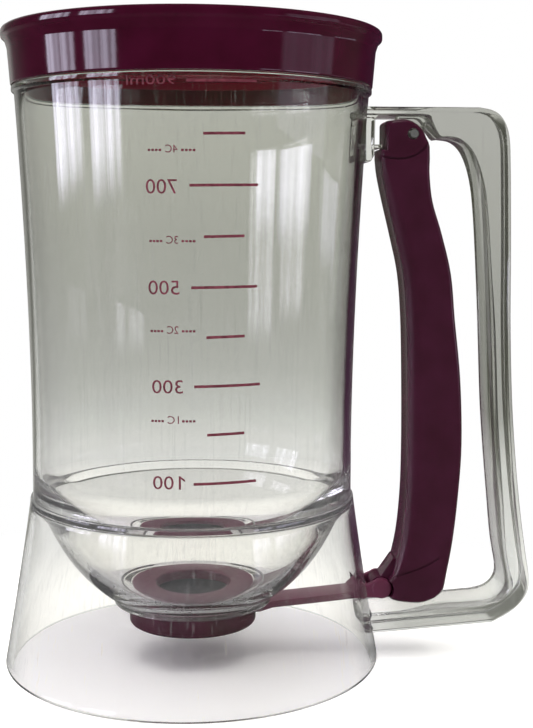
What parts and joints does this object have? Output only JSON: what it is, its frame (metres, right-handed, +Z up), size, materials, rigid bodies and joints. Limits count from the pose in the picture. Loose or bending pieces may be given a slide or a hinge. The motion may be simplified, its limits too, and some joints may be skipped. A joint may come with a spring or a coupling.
{
  "type": "batter dispenser",
  "caption": "Clear handled jug with a bowl-shaped floor, bottom outlet shut by a sliding shutter, a sprung hand trigger in the handle and a push-on lid.",
  "frame": {"origin": "the jug's axis on the plane that its base rim stands on", "axes": "+Z up along the jug's axis, +X from the axis toward the handle, -Y the side the measuring scale is on"},
  "size_m": [0.1606, 0.1144, 0.1903],
  "materials": {
    "clear_san": "clear moulded plastic, polished",
    "burgundy_pp": "moulded plastic, semi-gloss",
    "grey_silicone": "matt silicone rubber",
    "stainless": "drawn stainless wire"
  },
  "bodies": {
    "jug": {"jug_barrel": "clear_san", "funnel_bowl": "clear_san", "base_skirt": "clear_san", "handle_top_arm": "clear_san", "handle_grip": "clear_san", "handle_foot_bar": "clear_san", "seat_ring": "burgundy_pp", "seat_gasket": "grey_silicone", "valve_housing": "burgundy_pp", "pivot_pin": "stainless"},
    "lid": {"lid": "burgundy_pp"},
    "trigger": {"trigger": "burgundy_pp", "return_spring": "stainless"},
    "shutter": {"pull_arm": "burgundy_pp", "closure_pad": "grey_silicone"}
  },
  "joints": [
    {"name": "trigger_pivot", "type": "hinge", "parent": "jug", "child": "trigger", "pos_m": [0.0665, 0, 0.1605], "axis": [0, -1, 0], "range_deg": [0, 5], "stiffness_Nm_per_rad": 0.4, "springref_deg": -11.46, "deforming": ["return_spring"]},
    {"name": "shutter_slide", "type": "slide", "parent": "jug", "child": "shutter", "axis": [1, 0, 0], "range_m": [0, 0.0123]},
    {"name": "lid_lift", "type": "slide", "parent": "jug", "child": "lid", "axis": [0, 0, 1], "range_m": [0, 0.06]}
  ],
  "couplings": [
    {"joint": "shutter_slide", "follows": "trigger_pivot", "m_per_rad": 0.1397}
  ]
}
